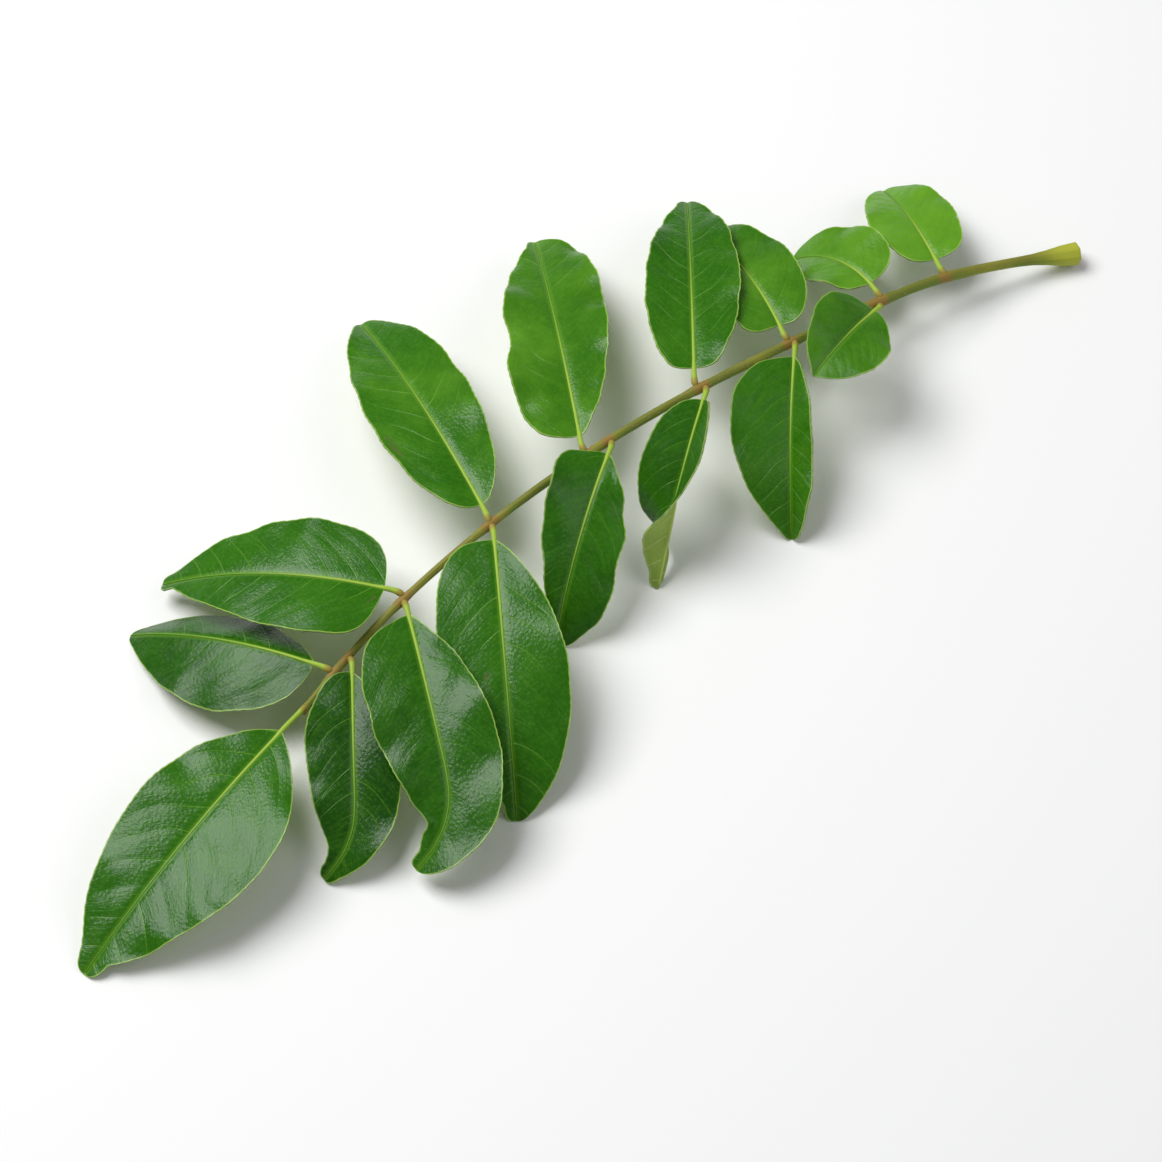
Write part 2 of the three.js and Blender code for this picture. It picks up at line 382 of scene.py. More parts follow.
def ribFinish():
    look = ribLook
    graph = Graph("leafletMidrib")
    share, joint, turn, below = graph.painted("share", "joint", "turn", "below")
    mottle = graph.noise(graph.place(), look["mottleScale"], 4, 0.6)
    streak = graph.noise(graph.vector(turn * 7, share * 9, 0.0), 1.0, 3, 0.6)
    jointed = (joint + mottle * 0.5 - 0.25).rise(0.1, 0.9)
    green = graph.blend(share.rise(0.05, 0.75), look["base"], look["tip"])
    green = graph.blend(streak.rise(0.5, 0.75) * look["streakShow"], green, look["streak"])
    green = graph.blend(below, green, look["below"])
    green = graph.blend(jointed * look["jointShow"], green, look["joint"])
    roughness = look["roughness"] + mottle * 0.15
    height = streak * 0.6 + mottle * 0.4
    normal = graph.bump(height, look["relief"])
    shader = graph.skin(green, roughness, look["specular"], Normal=normal)
    return graph.finish(shader)


stalkLook = {
    "green": colour(0.125, 0.205, 0.010),
    "yellow": colour(0.260, 0.285, 0.022),
    "brown": colour(0.180, 0.125, 0.026),
    "joint": colour(0.270, 0.150, 0.030),
    "foot": colour(0.460, 0.480, 0.036),
    "lenticel": colour(0.430, 0.360, 0.190),
    "cut": colour(0.460, 0.370, 0.180),
    "bark": colour(0.200, 0.150, 0.060),
    "mottleScale": 420,
    "broadScale": 70,
    "poreScale": 2200,
    "brownShow": 0.60,
    "streakShow": 0.40,
    "lenticelShow": 0.70,
    "jointShow": 0.80,
    "footShow": 0.85,
    "roughness": 0.52,
    "specular": 0.35,
    "relief": 0.07,
}


def stalkFinish():
    look = stalkLook
    graph = Graph("stalkSkin")
    place = graph.place()
    along, turn, upward = graph.painted("along", "turn", "upward")
    joint, cut, foot = graph.painted("joint", "cut", "foot")
    mottle = graph.noise(place, look["mottleScale"], 4, 0.6)
    broad = graph.noise(place, look["broadScale"], 2)
    streak = graph.noise(graph.vector(turn * 9, along * 0.12, 0.0), 1.0, 4, 0.65)
    lenticel = graph.cells(graph.vector(turn * 8, along * 0.55, 0.0), 1.0).rise(0.20, 0.10)
    weathered = (upward * 0.6 + mottle * 0.7 - 0.35).rise(0, 0.8)
    jointed = (joint + mottle * 0.5 - 0.25).rise(0.15, 0.95)
    swollen = (foot + streak * 0.4 - 0.3).rise(0, 1)
    skin = graph.blend(broad.rise(0.35, 0.65), look["green"], look["yellow"])
    skin = graph.blend(weathered * look["brownShow"], skin, look["brown"])
    skin = graph.blend(streak.rise(0.48, 0.74) * look["streakShow"], skin, look["green"])
    skin = graph.blend(lenticel * look["lenticelShow"], skin, look["lenticel"])
    skin = graph.blend(jointed * look["jointShow"], skin, look["joint"])
    skin = graph.blend(swollen * look["footShow"], skin, look["foot"])
    pores = graph.noise(place, look["poreScale"], 3, 0.7).rise(0.25, 0.62)
    skin = graph.blend(cut, skin, graph.blend(pores, look["bark"], look["cut"]))
    roughness = look["roughness"] + mottle * 0.18 + cut * 0.2
    height = streak * 0.8 + mottle * 0.4 + lenticel * 0.5
    normal = graph.bump(height, look["relief"])
    shader = graph.skin(skin, roughness, look["specular"], Normal=normal)
    return graph.finish(shader)


finishes = {
    "upper": upperFinish(),
    "lower": lowerFinish(),
    "rim": rimFinish(),
    "rib": ribFinish(),
    "stalk": stalkFinish(),
}
print("finishes made")


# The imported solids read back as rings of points

def weldedPoints(node):
    # a node's corners merged into single points, and the points that each shares an edge with
    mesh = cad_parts[node].data
    corners = np.array([vertex.co for vertex in mesh.vertices], dtype=float)
    keys = np.round(corners / (0.001 * mm)).astype(int)
    _, first, merged = np.unique(keys, axis=0, return_index=True, return_inverse=True)
    merged = merged.ravel()
    neighbours = [set() for _ in first]
    for face in mesh.polygons:
        for a, b in face.edge_keys:
            neighbours[merged[a]].add(merged[b])
            neighbours[merged[b]].add(merged[a])
    return corners[first], neighbours


def walkRound(layer, neighbours):
    # one ring's points in their order round it
    order = [min(layer)]
    while len(order) < len(layer):
        unused = layer - set(order)
        order.append(min(near for near in neighbours[order[-1]] if near in unused))
    return order


def readRings(node, startsLow):
    # first point, rings and last point; the end where startsLow gives less comes first
    points, neighbours = weldedPoints(node)
    most = max(len(near) for near in neighbours)
    ends = [index for index, near in enumerate(neighbours) if len(near) == most]
    ends.sort(key=lambda index: startsLow(points[index]))
    layers = [{ends[0]}]
    seen = {ends[0]}
    while len(seen) < len(points):
        onward = set().union(*(neighbours[index] for index in layers[-1])) - seen
        seen |= onward
        layers.append(onward)
    rings = np.array([points[walkRound(layer, neighbours)] for layer in layers[1:-1]])
    return points[ends[0]], rings, points[ends[-1]]


_, stalkRings, _ = readRings("rachis", lambda point: point[0])
stalkCentres = stalkRings.mean(axis=1)


def toStalk(point):
    return np.linalg.norm(stalkCentres - point, axis=1).min()


def turnedTo(ring, across, upward):
    # the ring's points started at its left margin and going over the top
    opposite = np.roll(ring, -len(ring) // 2, axis=0)
    ring = np.roll(ring, -int(np.argmax((ring - opposite) @ across)), axis=0)
    quarter = len(ring) // 4
    if (ring[quarter] - ring[-quarter]) @ upward < 0:
        ring = np.roll(ring[::-1], 1, axis=0)
    return ring


def readLeaflet(node):
    # the stem's line, the blade's ribs from left margin to right margin, and the way up at each
    stemRings = 3
    start, rings, tip = readRings(node, toStalk)
    middle = len(rings) // 2 - 2
    heading = unit(rings[middle + 1].mean(axis=0) - rings[middle].mean(axis=0))
    left = unit(np.cross((0, 0, 1), heading))
    for sweep in (range(middle, len(rings)), range(middle - 1, -1, -1)):
        across, upward = left, np.cross(heading, left)
        for index in sweep:
            rings[index] = turnedTo(rings[index], across, upward)
            across = unit(rings[index][0] - rings[index][6])
            upward = unit(rings[index][3] - rings[index][9])
    top = rings[:, :7]
    below = rings[:, [0, 11, 10, 9, 8, 7, 6]]
    ribs = (top + below) / 2
    ribs[:, 3] = top[:, 3] - (top[:, 2] - below[:, 2]) / 2  # the keel under the midrib isn't blade
    stem = np.concatenate([[start], rings[1:stemRings].mean(axis=1)])
    ribs = np.concatenate([[[stem[-1]] * 7], ribs[stemRings:], [[tip] * 7]])
    upward = unit(rings[:, 3] - rings[:, 9])
    return {
        "stem": stem,
        "ribs": ribs,
        "stemUp": upward[:stemRings],
        "bladeUp": upward[stemRings:],
        "keel": np.linalg.norm(ribs[1:-1, 3] - rings[stemRings:, 9], axis=-1),
    }


# Leaflets. tone is how fresh the green is, wave the height of the margin's waves, notch the dent
# at the tip, baseAngles the angles between midrib and margin at the base, right then left.
# nicks are folds in the margin: share of the length, side (1 left), depth, length, lift.
# marks are bruises: share of the length, reach across (1 left margin), length and width.

bladeLook = {
    "thickness": 0.30,
    "edgeThickness": 0.17,
    "taper": 1.5,  # how far in from the margin the blade thins out
    "facesPerMillimetre": 4.3,
    "facesAcross": 52,
    "lengthSpacing": (0.45, 0.55),  # evenly spread faces, and faces crowded towards the ends
    "acrossSpacing": (0.60, 0.40),  # the same from midrib to margin
    "veinsPerBlade": 9,
    "veinLean": 0.50,
    "veinArch": 0.62,
    "quilting": 0.07,
    "undulation": 0.26,
    "toothLength": 1.7,
    "toothDepth": 0.10,
    "edgeWander": 0.22,
    "veinWander": 0.16,
    "tipRadius": 1.7,
    "fullLength": 40,  # a shorter leaflet's tip is sharper
    "baseWidth": 0.2,
    "baseSharpness": 6,
    "baseAngles": (66, 66),
    "grooveDepth": 0.16,
    "grooveWidth": 0.5,
    "tone": 0.35,
    "wave": 0.35,
    "notch": 0.10,
    "nicks": [],
    "marks": [],
    "smoothAngle": 50,
    "toothWaves": (2, 30, 12),  # how many waves, the longest and the shortest, here and below
    "edgeWaves": (3, 11, 4),
    "marginWaves": (3, 16, 6),
    "veinWaves": (3, 22, 9),
    "surfaceWaves": (4, 17, 7),
}
leafletLooks = {
    "terminal_leaflet": {
        "tone": 0.36, "wave": 0.25, "quilting": 0.12, "undulation": 0.20,
        "tipRadius": 2.2, "baseAngles": (48, 50), "nicks": [(0.93, 1, 0.5, 1.0, 0.1)],
    },
    "left_leaflet_1": {"tone": 0.22, "wave": 0.25, "baseAngles": (45, 70)},
    "left_leaflet_2": {"tone": 0.38, "marks": [(0.07, 0.55, 2.4, 0.3)]},
    "left_leaflet_3": {"tone": 0.52, "marks": [(0.34, 0.88, 6.0, 0.5)]},
    "left_leaflet_4": {"tone": 0.62, "wave": 0.6, "nicks": [(0.45, 1, 1.3, 4.5, 0.1)]},
    "left_leaflet_5": {"tone": 0.42},
    "left_leaflet_6": {"tone": 0.58},
    "left_leaflet_7": {"tone": 0.78, "wave": 0.5},
    "left_leaflet_8": {"tone": 0.90, "wave": 0.25},
    "right_leaflet_1": {
        "tone": 0.12, "baseAngles": (65, 34), "nicks": [(0.87, -1, 0.9, 2.4, 0.3)],
    },
    "right_leaflet_2": {
        "tone": 0.33, "baseAngles": (65, 36), "nicks": [(0.82, -1, 1.8, 2.2, 0.4)],
    },
    "right_leaflet_3": {"tone": 0.37, "baseAngles": (65, 34), "marks": [(0.52, -0.3, 3.0, 0.4)]},
    "right_leaflet_4": {"tone": 0.38, "wave": 0.5, "nicks": [(0.55, 1, 0.9, 3.5, 0.2)]},
    "right_leaflet_5": {"tone": 0.32, "wave": 0.15},
    "right_leaflet_6": {"tone": 0.48, "baseAngles": (65, 45)},
    "right_leaflet_7": {"tone": 0.62, "wave": 0.2},
}
acrossWeights = (  # a cubic through four points, from midrib to margin
    lambda t: -4.5 * (t - 1 / 3) * (t - 2 / 3) * (t - 1),
    lambda t: 13.5 * t * (t - 2 / 3) * (t - 1),
    lambda t: -13.5 * t * (t - 1 / 3) * (t - 1),
    lambda t: 4.5 * t * (t - 1 / 3) * (t - 2 / 3),
)


def bladeSurface(ribs, shares, reaches):
    # the smooth middle surface, for shares of the length and reaches from -1 right to 1 left
    lengthwise = spline(ribs, np.arccos(1 - 2 * shares) / math.pi * (len(ribs) - 1))
    columns = []
    for reach in reaches:
        half = lengthwise[:, 3::-1] if reach >= 0 else lengthwise[:, 3:]
        weights = np.array([weight(abs(reach)) for weight in acrossWeights])
        columns.append(np.einsum("k,nkj->nj", weights, half))
    return np.stack(columns, axis=1)


def bladeNormals(points):
    lengthwise = np.gradient(points, axis=0)
    crosswise = np.gradient(points, axis=1)
    normals = np.cross(lengthwise, crosswise)
    normals[:2] = normals[2]
    normals[-2:] = normals[-3]
    return unit(normals)


def waves(places, count, longest, shortest):
    # a gentle uneven surface between -1 and 1 over places given in millimetres
    height = np.zeros(places.shape[:-1])
    for _ in range(count):
        bearing = random.uniform(0, math.pi)
        length = random.uniform(shortest, longest)
        phase = random.uniform(0, 2 * math.pi)
        line = places[..., 0] * math.cos(bearing) + places[..., 1] * math.sin(bearing)
        height += np.sin(2 * math.pi * line / length + phase) / count
    return height


def bySide(reaches, pair):
    # the first of a pair of columns on the right, the second on the left
    return np.where(reaches[None, :] < 0, pair[:, :1], pair[:, 1:])


def bladeOutline(ribs, look, shares, reaches, length):
    # the middle surface with a wedge-shaped base and a blunt tip, its midline and its direction
    points = bladeSurface(ribs, shares, reaches)
    middle = points[:, len(reaches) // 2][:, None]
    along = unit(np.gradient(middle, axis=0))

    width = np.linalg.norm(points[:, [0, -1]] - middle, axis=-1) / mm
    width = np.maximum(width, 1e-4)  # never nothing to divide by
    slopes = np.tan(np.radians(look["baseAngles"]))
    wedge = look["baseWidth"] + slopes[None, :] * length * shares[:, None]
    power = look["baseSharpness"]
    narrower = (1 + (width / wedge) ** power) ** (-1 / power)
    points = middle + bySide(reaches, narrower)[..., None] * (points - middle)

    width = width * narrower
    toTip = length * (1 - shares)[:, None]
    radius = look["tipRadius"] * min(1, length / look["fullLength"])
    blunt = np.sqrt(np.maximum(0, 2 * radius * toTip - toTip**2))
    fuller = (width**4 + blunt**4) ** 0.25 / width
    fuller = np.where(toTip > 1e-6, fuller, 1)
    offset = points - middle
    sideways = offset - np.sum(offset * along, axis=-1, keepdims=True) * along
    points = points + (bySide(reaches, fuller)[..., None] - 1) * sideways
    return points, middle, along


def bruises(look, shares, reaches, edge, aside, length):
    # 1 inside a mark and 0 away from it
    mark = np.zeros_like(aside)
    for share, reach, span, wide in look["marks"]:
        alongMark = (shares[:, None] - share) * length / (span / 2)
        acrossMark = (np.abs(reach) * edge - aside) / wide
        acrossMark = np.where(np.sign(reaches) == np.sign(reach), acrossMark, 9)
        mark = np.maximum(mark, smooth(-(alongMark**4 + acrossMark**2), -1.6, -0.3))
    return mark


def shapeBlade(leaflet, look):
    # the blade's corner points with its veins, waves and teeth, and the numbers painted on them
    ribs = leaflet["ribs"]
    length = distances(ribs[:, 3])[-1] / mm
    step = np.linspace(0, 1, int(length * look["facesPerMillimetre"]) + 1)
    even, crowded = look["lengthSpacing"]
    shares = even * step + crowded * (1 - np.cos(math.pi * step)) / 2
    tilt = np.linspace(-1, 1, look["facesAcross"] + 1)
    even, crowded = look["acrossSpacing"]
    reaches = even * tilt + crowded * np.sin(math.pi * tilt / 2)
    points, middle, along = bladeOutline(ribs, look, shares, reaches, length)

    side = np.sign(reaches)[None, :]
    outward = points - middle
    aside = np.linalg.norm(outward, axis=-1) / mm
    edge = bySide(reaches, aside[:, [0, -1]])
    margin = edge - aside
    forward = distances(middle[:, 0])[:, None] / mm + np.sum(outward * along, axis=-1) / mm
    outward = outward / np.maximum(aside, 1e-6)[..., None] / mm
    normals = bladeNormals(points)
    inward = np.zeros_like(aside)
    height = np.zeros_like(aside)

    # folds in the margin
    for share, nickSide, depth, span, lift in look["nicks"]:
        near = np.exp(-(((shares * length)[:, None] - share * length) / span) ** 2)
        near = near * (side == nickSide) * smooth(np.abs(reaches), 0.25, 1)[None, :]
        inward += depth * near
        height += lift * depth * near

    # teeth and waves along the margin
    uneven = waves(np.dstack([forward, aside]), *look["toothWaves"])
    tooth = np.abs(np.sin(math.pi * forward / look["toothLength"] + uneven))
    tooth = (0.6 - tooth) * np.exp(-margin / 0.5) * smooth(edge, 0.6, 2.5)
    inward += look["toothDepth"] * tooth
    wander = waves(np.dstack([forward, aside * 0 + side * 30]), *look["edgeWaves"])
    inward += look["edgeWander"] * wander * smooth(np.abs(reaches), 0.5, 1)
    swell = smooth(edge, 1, 5) * smooth(shares, 0, 0.08)[:, None]
    rolling = waves(np.dstack([forward, aside * 0 + side * 40]), *look["marginWaves"])
    height += look["wave"] * rolling * smooth(np.abs(reaches), 0.35, 1) ** 2 * swell

    # the side veins, sunk between swollen strips, and an uneven surface
    spread = np.dstack([forward, aside * side])
    wander = look["veinWander"] * waves(spread, *look["veinWaves"])
    widest = edge.max()
    outwards = aside / widest
    advance = widest * (look["veinLean"] * outwards + look["veinArch"] * outwards**2)
    vein = (forward - advance) / (length / look["veinsPerBlade"]) + wander
    vein = vein + 0.5 * (side > 0) + 2  # the two halves' veins alternate
    strip = np.abs(np.sin(math.pi * vein)) ** 0.7 - 0.6
    height += look["quilting"] * strip * smooth(aside, 0.3, 2.2) * smooth(margin, 0.2, 2.5)
    lumps = waves(spread, *look["surfaceWaves"])
    height += look["undulation"] * lumps * smooth(aside, 0.5, 5) * smooth(edge, 1, 5)
    groove = np.exp(-((aside / look["grooveWidth"]) ** 2))
    height -= look["grooveDepth"] * groove * smooth(shares, 0, 0.05)[:, None]
    points = points + normals * (height * mm)[..., None] - outward * (inward * mm)[..., None]

    # the dent at the tip, and nothing below the floor
    atTip = smooth(-length * (1 - shares)[:, None], -1.8, 0)
    pull = look["notch"] * np.exp(-((aside / 0.8) ** 2)) * atTip
    points = points - along * (pull * mm)[..., None]
    points[..., 2] = np.maximum(points[..., 2], look["thickness"] / 2 * mm)

    return points, {
        "tone": look["tone"],
        "along": forward,
        "aside": aside,
        "margin": margin,
        "vein": vein,
        "mark": bruises(look, shares, reaches, edge, aside, length),
    }


def addBlade(node, leaflet, look):
    points, paints = shapeBlade(leaflet, look)
    blade = addSheet(node + "_blade", points, paints)
    edit(bpy.ops.mesh.remove_doubles, threshold=0.001 * mm)
    for finish in ("upper", "lower", "rim"):
        blade.data.materials.append(finishes[finish])
    body = blade.vertex_groups.new(name="body")
    margins = blade.data.attributes["margin"].data
    for index in range(len(blade.data.vertices)):
        body.add([index], min(1, margins[index].value / look["taper"]), "REPLACE")
    wall = blade.modifiers.new("wall", "SOLIDIFY")
    wall.thickness = look["thickness"] * mm
    wall.offset = 0
    wall.vertex_group = "body"
    wall.thickness_vertex_group = look["edgeThickness"] / look["thickness"]
    wall.material_offset = 1
    wall.material_offset_rim = 2
    bpy.ops.object.modifier_apply(modifier="wall")
    bpy.ops.object.shade_smooth_by_angle(angle=math.radians(look["smoothAngle"]))
    handOver(blade, "leaflet", node)


# A leaflet's stem and midrib: one tapering cord, round where it leaves the stalk and a low ridge
# above the blade

ribForm = {
    "ringsPerMillimetre": 3.2,
    "sides": 18,
    "stemRadius": 0.48,
    "cushionSwelling": 0.30,
    "cushionLength": 1.5,
    "halfWidth": 0.29,
    "tipHalfWidth": 0.08,
    "ridge": 0.16,
    "tipRidge": 0.11,
    "reachIntoStalk": 0.9,
    "overlapAtEnd": 2.2,
    "roundedStart": 0.8,
    "roundedEnd": 1.2,
    "easing": 1.1,
    "reachToTip": 0.2,
    "ontoBlade": (-1.0, 2.4),  # where the round stem flattens, from its end
    "jointColour": (0.8, 2.6),  # where the joint's brown begins to fade, and where it ends
}


def ribLine(leaflet):
    # points from inside the stalk to the blade's tip, the way up and the keel's depth at each,
    # and how many of the points are the stem's
    form = ribForm
    stem, ribs, keel = leaflet["stem"], leaflet["ribs"], leaflet["keel"]
    station = int(np.argmin(np.linalg.norm(stalkCentres - stem[0], axis=1)))
    nearest = stalkCentres[station]
    back = stem[0] - unit(stem[1] - stem[0]) * np.linalg.norm(nearest - stem[0])
    inside = stem[0] + ((nearest + back) / 2 - stem[0]) * form["reachIntoStalk"]
    if station == 0:
        inside = nearest + unit(stalkCentres[1] - nearest) * form["overlapAtEnd"] * mm
    tip = ribs[-2, 3] + (ribs[-1, 3] - ribs[-2, 3]) * form["reachToTip"]
    line = np.concatenate([[inside], stem, ribs[1:-1, 3], [tip]])
    stemUp, bladeUp = leaflet["stemUp"], leaflet["bladeUp"]
    upward = np.concatenate([stemUp[:1], stemUp, bladeUp, bladeUp[-1:]])
    stemPoints = len(stem) + 1
    depth = np.concatenate([[form["stemRadius"] * mm] * stemPoints, keel, keel[-1:] * 0.5])
    return line, upward, depth, stemPoints


def addRib(node, leaflet):
    form = ribForm
    line, upward, depth, stemPoints = ribLine(leaflet)
    fine = np.linspace(0, len(line) - 1, 40 * len(line))
    smoothLine = spline(line, fine)
    depth = np.interp(fine, np.arange(len(line)), depth)
    extra = np.column_stack([spline(upward, fine), depth])
    total = distances(smoothLine)[-1] / mm
    count = int(total * form["ringsPerMillimetre"])
    centres, extra = evenly(smoothLine, extra, count)
    place = np.linspace(0, total, count)
    stemLength = distances(line[:stemPoints])[-1] / mm

    # bends in the stem eased out
    near = np.exp(-((place[:, None] - place[None, :]) / form["easing"]) ** 2)
    eased = np.einsum("ij,jk->ik", near / near.sum(axis=1, keepdims=True), centres)
    bent = smooth(place, 0, form["easing"] * 1.5)
    bent = bent * smooth(-place, -stemLength - 3, -stemLength - 1)
    centres = centres + bent[:, None] * (eased - centres)
    tangent = unit(np.gradient(centres, axis=0))
    across = unit(np.cross(unit(extra[:, :3]), tangent))
    upward = np.cross(tangent, across)

    # half width, and heights above and below the line
    early, late = form["ontoBlade"]
    onBlade = smooth(place, stemLength + early, stemLength + late)
    share = np.clip((place - stemLength) / (total - stemLength), 0, 1)
    cushion = smooth(-place, -form["cushionLength"] * 2, -form["cushionLength"] * 0.6)
    cushion = 1 + form["cushionSwelling"] * cushion
    stemRadius = form["stemRadius"] * cushion * (1 - onBlade)
    bladeHalf = form["halfWidth"] + (form["tipHalfWidth"] - form["halfWidth"]) * share**0.8
    ridge = form["ridge"] + (form["tipRidge"] - form["ridge"]) * share
    half = stemRadius + bladeHalf * onBlade
    above = stemRadius + ridge * onBlade
    below = stemRadius + extra[:, 3] / mm * onBlade
    closing = np.sqrt(np.clip((total - place) / form["roundedEnd"], 0, 1))
    closing = closing * np.sqrt(np.clip(place / form["roundedStart"], 0, 1))

    angles = np.linspace(0, 2 * math.pi, form["sides"], endpoint=False)
    level = np.sin(angles)[None, :]
    sideways = np.cos(angles)[None, :] * (half * closing)[:, None]
    rise = np.where(level > 0, above[:, None], below[:, None]) * level * closing[:, None]
    rings = centres[:, None] + across[:, None] * (sideways * mm)[..., None]
    rings = rings + upward[:, None] * (rise * mm)[..., None]
    rings[0] = centres[0]
    rings[-1] = centres[-1]
    rings[..., 2] = np.maximum(rings[..., 2], 0)
    full, faded = form["jointColour"]
    rib = addTube(node + "_midrib", rings, {
        "share": share[:, None],
        "joint": smooth(-place, -faded, -full)[:, None],
        "turn": np.abs(angles / math.pi - 1)[None, :],
        "below": smooth(-level, -0.1, 0.4) * onBlade[:, None],
    })
    rib.data.materials.append(finishes["rib"])
    handOver(rib, "leaflet", node)


leaflets = {node: readLeaflet(node) for node in sorted(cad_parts) if node != "rachis"}
for node, leaflet in leaflets.items():
    look = {**bladeLook, **leafletLooks[node]}
    addBlade(node, leaflet, look)
    addRib(node, leaflet)
    print("made", node)


# The stalk, on the imported stalk's radii, with coloured joints and a ridged, cut foot

stalkForm = {
    "ringsPerMillimetre": 2.2,
    "sides": 28,
    "ridges": 7,
    "ridgeHeight": 0.025,
    "unevenness": 0.05,
    "unevenWaves": (4, 26, 9),
    "jointLength": 2.4,
    "footLength": 13,
    "cutSteps": [  # how far past the foot, and the share of its radius
        (0.10, 0.985), (0.20, 0.93), (0.22, 0.84), (0.14, 0.76),
        (0.10, 0.55), (0.16, 0.28), (0.12, 0.0),
    ],
    "cutEdge": [0.2, 0.7],  # how bare the cut's first rings are
}


def packedRadii(angles, place):
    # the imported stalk's radius at each angle round it, in millimetres
    tangents = unit(np.gradient(stalkCentres, axis=0))
    table = []
    for centre, tangent, ring in zip(stalkCentres, tangents, stalkRings):
        across = unit(np.cross((0, 0, 1), tangent))
        upward = np.cross(tangent, across)
        spokes = ring - centre
        turns = np.arctan2(spokes @ upward, spokes @ across)
        radii = np.linalg.norm(spokes, axis=1) / mm
        table.append(np.interp(angles, turns, radii, period=2 * math.pi))
    stations = distances(stalkCentres) / mm
    return np.array([np.interp(place, stations, column) for column in np.array(table).T]).T


def addStalk():
    form = stalkForm
    line = spline(stalkCentres, np.linspace(0, len(stalkCentres) - 1, 1200))
    total = distances(line)[-1] / mm
    count = int(total * form["ringsPerMillimetre"])
    centres, _ = evenly(line, np.zeros((len(line), 1)), count)
    place = np.linspace(0, total, count)
    angles = np.linspace(0, 2 * math.pi, form["sides"], endpoint=False)
    radii = packedRadii(angles, place)

    # where the leaflets join
    joint = np.zeros(count)
    for leaflet in leaflets.values():
        nearest = place[np.argmin(np.linalg.norm(centres - leaflet["stem"][0], axis=1))]
        joint = np.maximum(joint, smooth(-np.abs(place - nearest), -form["jointLength"], -0.3))

    # low ridges and lumps, and a round leaf end
    foot = smooth(place, total - form["footLength"], total)
    leafEnd = np.clip(place / radii[0, 0], 0, 1)
    leafEnd = np.sqrt(leafEnd * (2 - leafEnd))
    spread = np.broadcast_arrays(place[:, None], angles[None, :] * 1.5)
    uneven = waves(np.dstack(spread), *form["unevenWaves"])
    ridges = np.cos(form["ridges"] * angles)[None, :] * form["ridgeHeight"]
    ridges = ridges * (1 + 3 * foot[:, None])
    radii = (radii + form["unevenness"] * uneven + ridges) * leafEnd[:, None]
    tangents = unit(np.gradient(centres, axis=0))
    across = unit(np.cross((0, 0, 1), tangents))
    upward = np.cross(tangents, across)
    spoke = across[:, None] * np.cos(angles)[None, :, None]
    spoke = spoke + upward[:, None] * np.sin(angles)[None, :, None]
    rings = centres[:, None] + spoke * (radii * mm)[..., None]
    rings[0] = centres[0]

    # the cut face at the foot
    cutRings = [rings]
    for onward, share in form["cutSteps"]:
        centre = centres[-1] + tangents[-1] * onward * mm
        cutRings.append((centre + spoke[-1] * (radii[-1][:, None] * share * mm))[None])
    steps = len(form["cutSteps"])
    bare = form["cutEdge"] + [1.0] * (steps - len(form["cutEdge"]))
    stalk = addTube("stalk", np.concatenate(cutRings), {
        "along": np.append(place, [total] * steps)[:, None],
        "turn": np.abs(angles / math.pi - 1)[None, :],
        "upward": np.sin(angles)[None, :],
        "joint": np.append(joint, [0.0] * steps)[:, None],
        "foot": np.append(foot, [1.0] * steps)[:, None],
        "cut": np.append(np.zeros(count), bare)[:, None],
    })
    stalk.data.materials.append(finishes["stalk"])
    handOver(stalk, "stalk", "rachis")


addStalk()
print("stalk made")


# Floor, lights and camera

stageLook = {
    "floorSize": 4000,
    "floor": colour(0.86, 0.86, 0.85),
    "fleck": colour(0.78, 0.78, 0.77),
    "fleckShow": 0.04,
    "fleckScale": 900,
    "roughness": 0.8,
    "sky": colour(0.93, 0.96, 1.0),
    "skyStrength": 0.21,
}


def addFloor():
    look = stageLook
    bpy.ops.object.select_all(action="DESELECT")
    bpy.ops.mesh.primitive_plane_add(size=look["floorSize"] * mm, location=(0, 0, 0))
    floor = bpy.context.object
    floor.name = "floor"
    graph = Graph("floorPaper")
    grain = graph.noise(graph.place(), look["fleckScale"], 2)
    shade = graph.blend(grain * look["fleckShow"], look["floor"], look["fleck"])
    floor.data.materials.append(graph.finish(graph.skin(shade, look["roughness"])))


def addSky():
    sky = bpy.data.worlds.new("sky")
    bpy.context.scene.world = sky
    sky.use_nodes = True
    backdrop = sky.node_tree.nodes["Background"]
    backdrop.inputs["Color"].default_value = stageLook["sky"]
    backdrop.inputs["Strength"].default_value = stageLook["skyStrength"]


softboxes = {
    "window": {"azimuth": 25, "elevation": 58, "distance": 0.9, "size": 0.6, "power": 9.4},
    "fill": {"azimuth": -140, "elevation": 40, "distance": 1.1, "size": 0.8, "power": 2.4},
}


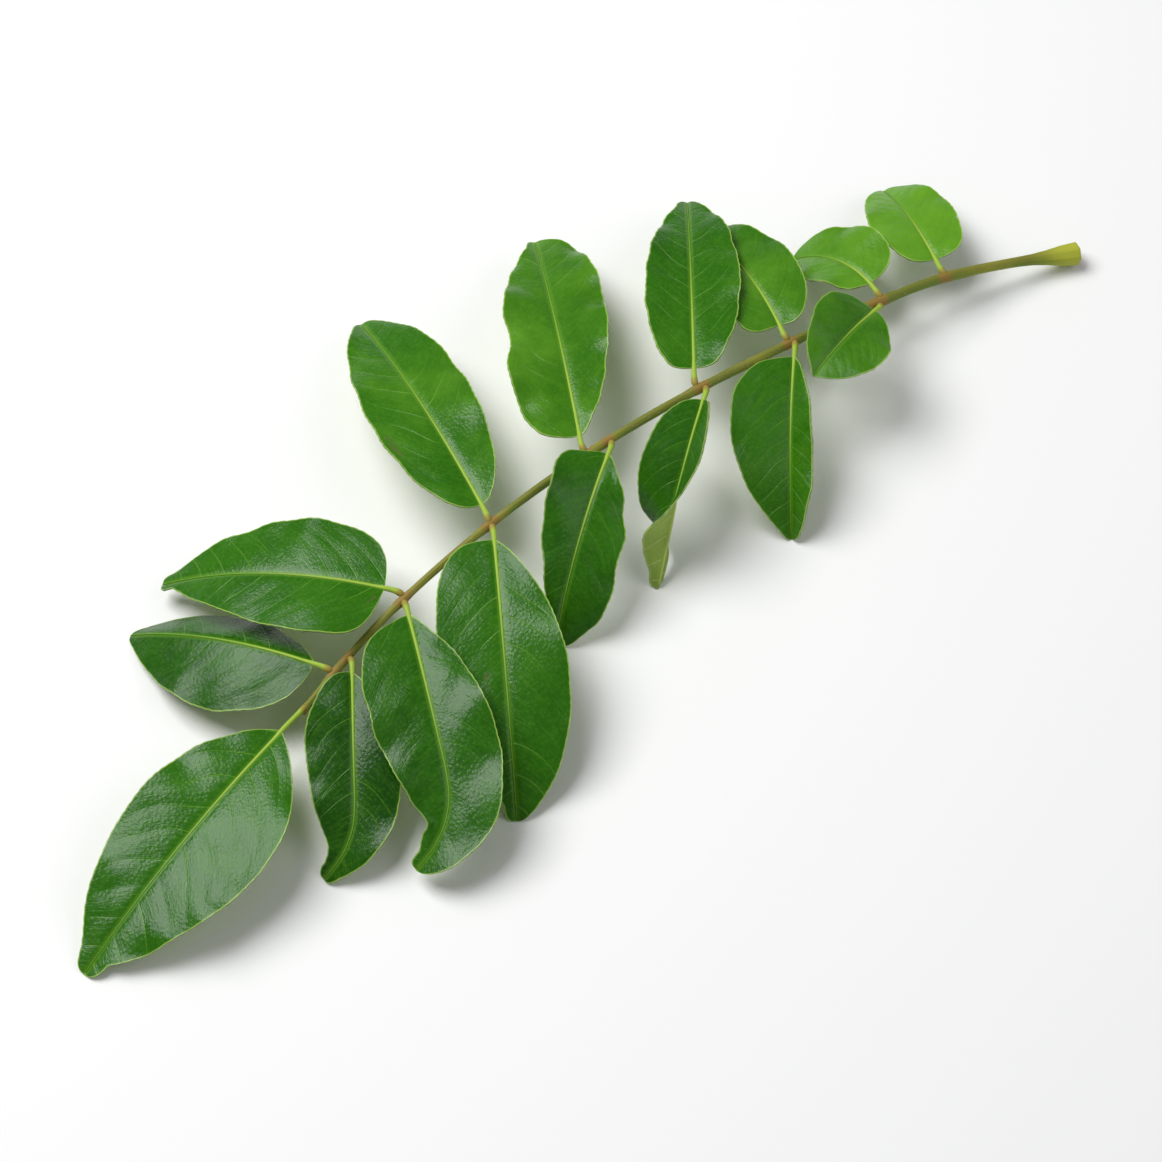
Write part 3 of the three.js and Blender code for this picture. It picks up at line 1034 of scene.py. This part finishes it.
def direction(azimuth, elevation):
    # from the object out towards a place seen ahead when looking along that azimuth
    turn, climb = math.radians(azimuth), math.radians(elevation)
    level = math.cos(climb)
    return Vector((-math.sin(turn) * level, math.cos(turn) * level, math.sin(climb)))


def addSoftbox(name, box):
    centre = (cadBox[0] + cadBox[1]) / 2
    towards = direction(box["azimuth"], box["elevation"])
    bpy.ops.object.light_add(type="AREA", location=centre + towards * box["distance"])
    light = bpy.context.object
    light.name = name
    light.data.shape = "SQUARE"
    light.data.size = box["size"]
    light.data.energy = box["power"]
    light.rotation_euler = towards.to_track_quat("Z", "Y").to_euler()


cameraLook = {
    "azimuth": -37,
    "elevation": 58,
    "distance": 700,
    "fill": 0.86,  # share of the frame that the sprig fills
    "sensor": 36,
    "clipStart": 10,
}


def addCamera():
    # looks down on the sprig, with the whole of it in the middle of the frame
    look = cameraLook
    towards = -direction(look["azimuth"], -look["elevation"])
    turn = math.radians(look["azimuth"])
    right = Vector((math.cos(turn), math.sin(turn), 0))
    up = towards.cross(right)
    back = towards * look["distance"] * mm
    meshes = [node.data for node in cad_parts.values()]
    shown = np.concatenate([[vertex.co for vertex in mesh.vertices] for mesh in meshes])
    aim = (cadBox[0] + cadBox[1]) / 2
    for _ in range(6):
        offset = shown - np.array(aim + back)
        depth = -offset @ np.array(towards)
        across = offset @ np.array(right) / depth
        rise = offset @ np.array(up) / depth
        aim = aim + right * (across.max() + across.min()) / 2 * look["distance"] * mm
        aim = aim + up * (rise.max() + rise.min()) / 2 * look["distance"] * mm
    spread = max(np.ptp(across), np.ptp(rise))
    bpy.ops.object.camera_add(location=aim + back)
    camera = bpy.context.object
    camera.rotation_euler = towards.to_track_quat("Z", "Y").to_euler()
    camera.data.sensor_width = look["sensor"]
    camera.data.lens = look["sensor"] * look["fill"] / spread
    camera.data.clip_start = look["clipStart"] * mm
    bpy.context.scene.camera = camera


addFloor()
addSky()
for name, box in softboxes.items():
    addSoftbox(name, box)
addCamera()
bpy.context.scene.view_settings.view_transform = "Standard"
print("stage and camera made")
